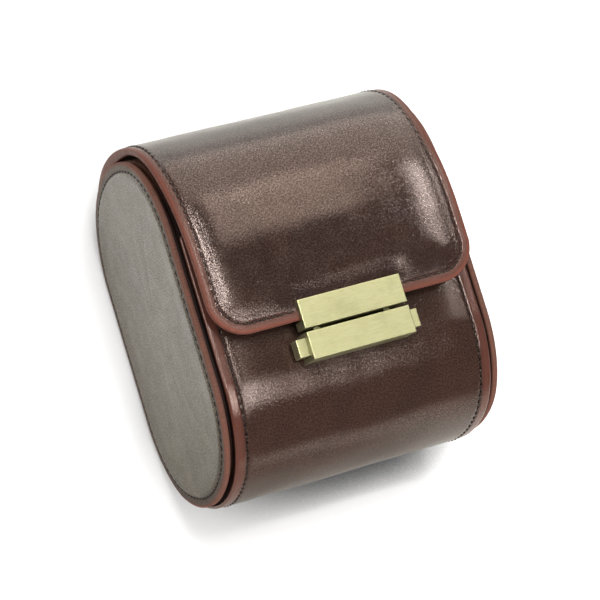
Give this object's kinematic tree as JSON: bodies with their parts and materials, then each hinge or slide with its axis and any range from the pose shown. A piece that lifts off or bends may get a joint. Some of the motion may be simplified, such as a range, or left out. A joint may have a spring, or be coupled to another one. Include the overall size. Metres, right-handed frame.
{
  "type": "single watch roll",
  "caption": "Oval leather watch roll with stitched end caps, a hinged front flap, a brass squeeze clasp with side buttons and a lift-out watch cushion.",
  "frame": {"origin": "centre of the bounding box at its base, with the case lying on its back wall", "axes": "+Z out through the front wall and the clasp, +Y up the case towards the crest, +X along the roll from the left cap to the right cap"},
  "size_m": [0.0952, 0.1204, 0.0968],
  "materials": {
    "dark_leather": "satin, burnished edges",
    "cap_leather": "satin",
    "welt_leather": "matte",
    "board": "matte",
    "suede_lining": "napped",
    "suede_cushion": "napped",
    "foam": "matte",
    "brass": "brushed",
    "steel": "plain"
  },
  "bodies": {
    "case": {"body_leather": "dark_leather", "shell_board": "board", "shell_lining": "suede_lining", "left_end_board": "board", "right_end_board": "board", "left_end_lining": "suede_lining", "right_end_lining": "suede_lining", "left_welt": "welt_leather", "right_welt": "welt_leather", "left_cap_leather": "cap_leather", "right_cap_leather": "cap_leather", "lock_base_plate": "brass", "lock_housing": "brass", "lock_backing_plate": "steel", "left_lock_rivet": "brass", "right_lock_rivet": "brass", "left_button_spring": "steel", "right_button_spring": "steel"},
    "left_button": {"left_button": "brass"},
    "right_button": {"right_button": "brass"},
    "flap": {"flap_leather": "dark_leather", "flap_board": "board", "flap_lining": "suede_lining", "clasp_plate": "brass", "clasp_backing_plate": "steel", "left_hook": "brass", "right_hook": "brass", "left_clasp_rivet": "brass", "right_clasp_rivet": "brass"},
    "cushion": {"cushion_core": "foam", "cushion_cover": "suede_cushion", "left_cushion_end": "suede_cushion", "right_cushion_end": "suede_cushion"}
  },
  "joints": [
    {"name": "flap_lift", "type": "hinge", "parent": "case", "child": "flap", "pos_m": [0, 0.05724, 0.02867], "axis": [-1, 0, 0], "range_deg": [0, 120]},
    {"name": "cushion_lift", "type": "slide", "parent": "case", "child": "cushion", "axis": [0, 0.809, 0.5878], "range_m": [0, 0.095]},
    {"name": "left_button_push", "type": "slide", "parent": "case", "child": "left_button", "axis": [1, 0, 0], "range_m": [0, 0.002], "stiffness_N_per_m": 400, "springref_m": -0.001, "deforming": ["left_button_spring"]},
    {"name": "right_button_push", "type": "slide", "parent": "case", "child": "right_button", "axis": [-1, 0, 0], "range_m": [0, 0.002], "stiffness_N_per_m": 400, "springref_m": -0.001, "deforming": ["right_button_spring"]}
  ],
  "couplings": [
    {"joint": "cushion_lift", "follows": "flap_lift", "m_per_rad": 0.0453}
  ]
}
